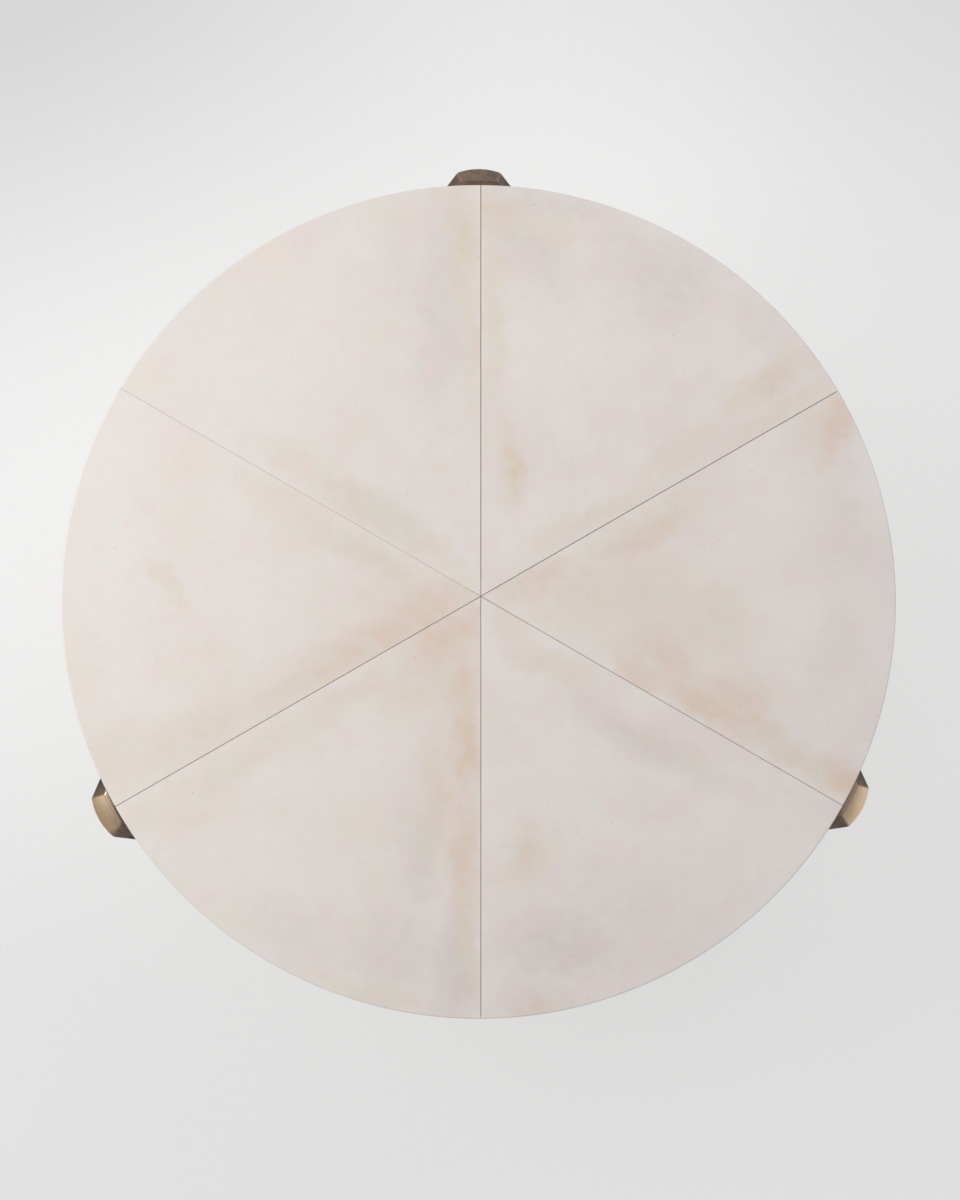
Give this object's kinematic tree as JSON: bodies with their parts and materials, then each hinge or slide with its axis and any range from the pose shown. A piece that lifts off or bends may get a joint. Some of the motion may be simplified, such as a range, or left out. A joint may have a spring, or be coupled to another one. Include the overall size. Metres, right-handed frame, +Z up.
{
  "type": "round cocktail table",
  "caption": "Low round table: wedge panels wrapped in pale parchment on a plywood disc, held at the rim by faceted hollow cast brass legs with levelling glides.",
  "frame": {"origin": "on the floor, midway across the table's whole outline; the top's own centre is 15 mm behind it along -Y, because the first leg's head reaches past the rim at +Y", "axes": "+Z up through the top; +Y from the middle towards the first leg"},
  "size_m": [0.9144, 0.9445, 0.4572],
  "materials": {
    "parchment": "mottled goatskin parchment under satin lacquer",
    "board": "bare fibreboard",
    "plywood": "sanded birch plywood under thin sealer",
    "brass": "antique brass casting, hand rubbed",
    "steel": "black painted steel",
    "zinc": "zinc plated steel",
    "nylon": "black moulded nylon"
  },
  "bodies": {
    "root": {"backing_disc": "plywood", "parchment_1": "parchment", "parchment_2": "parchment", "parchment_3": "parchment", "parchment_4": "parchment", "parchment_5": "parchment", "parchment_6": "parchment", "panel_board_1": "board", "panel_board_2": "board", "panel_board_3": "board", "panel_board_4": "board", "panel_board_5": "board", "panel_board_6": "board", "panel_screw_1": "zinc", "panel_screw_2": "zinc", "panel_screw_3": "zinc", "panel_screw_4": "zinc", "panel_screw_5": "zinc", "panel_screw_6": "zinc", "panel_screw_7": "zinc", "panel_screw_8": "zinc", "panel_screw_9": "zinc", "panel_screw_10": "zinc", "panel_screw_11": "zinc", "panel_screw_12": "zinc", "leg_1": "brass", "leg_2": "brass", "leg_3": "brass", "mounting_plate_1": "steel", "mounting_plate_2": "steel", "mounting_plate_3": "steel", "leg_screw_1": "zinc", "leg_screw_2": "zinc", "leg_screw_3": "zinc", "leg_screw_4": "zinc", "leg_screw_5": "zinc", "leg_screw_6": "zinc", "plate_screw_1": "zinc", "plate_screw_2": "zinc", "plate_screw_3": "zinc", "plate_screw_4": "zinc", "plate_screw_5": "zinc", "plate_screw_6": "zinc", "plate_screw_7": "zinc", "plate_screw_8": "zinc", "plate_screw_9": "zinc", "foot_plate_1": "brass", "foot_plate_2": "brass", "foot_plate_3": "brass", "glide_bush_1": "zinc", "glide_bush_2": "zinc", "glide_bush_3": "zinc"},
    "pad_1": {"glide_pad_1": "nylon"},
    "pad_2": {"glide_pad_2": "nylon"},
    "pad_3": {"glide_pad_3": "nylon"},
    "stud_1": {"glide_stud_1": "zinc"},
    "stud_2": {"glide_stud_2": "zinc"},
    "stud_3": {"glide_stud_3": "zinc"}
  },
  "joints": [
    {"name": "glide_1_travel", "type": "slide", "parent": "root", "child": "pad_1", "axis": [0, 0, -1], "range_m": [-0.008, 0]},
    {"name": "glide_2_travel", "type": "slide", "parent": "root", "child": "pad_2", "axis": [0, 0, -1], "range_m": [-0.008, 0]},
    {"name": "glide_3_travel", "type": "slide", "parent": "root", "child": "pad_3", "axis": [0, 0, -1], "range_m": [-0.008, 0]},
    {"name": "glide_1_turn", "type": "hinge", "parent": "pad_1", "child": "stud_1", "pos_m": [-0.00116, 0.42745, 0.011], "axis": [0, 0, -1], "range_deg": [-1920, 0]},
    {"name": "glide_2_turn", "type": "hinge", "parent": "pad_2", "child": "stud_2", "pos_m": [-0.38225, -0.23797, 0.011], "axis": [0, 0, -1], "range_deg": [-1920, 0]},
    {"name": "glide_3_turn", "type": "hinge", "parent": "pad_3", "child": "stud_3", "pos_m": [0.38739, -0.2289, 0.011], "axis": [0, 0, -1], "range_deg": [-1920, 0]}
  ],
  "couplings": [
    {"joint": "glide_1_turn", "follows": "glide_1_travel", "rad_per_m": 4188.8},
    {"joint": "glide_2_turn", "follows": "glide_2_travel", "rad_per_m": 4188.8},
    {"joint": "glide_3_turn", "follows": "glide_3_travel", "rad_per_m": 4188.8}
  ]
}
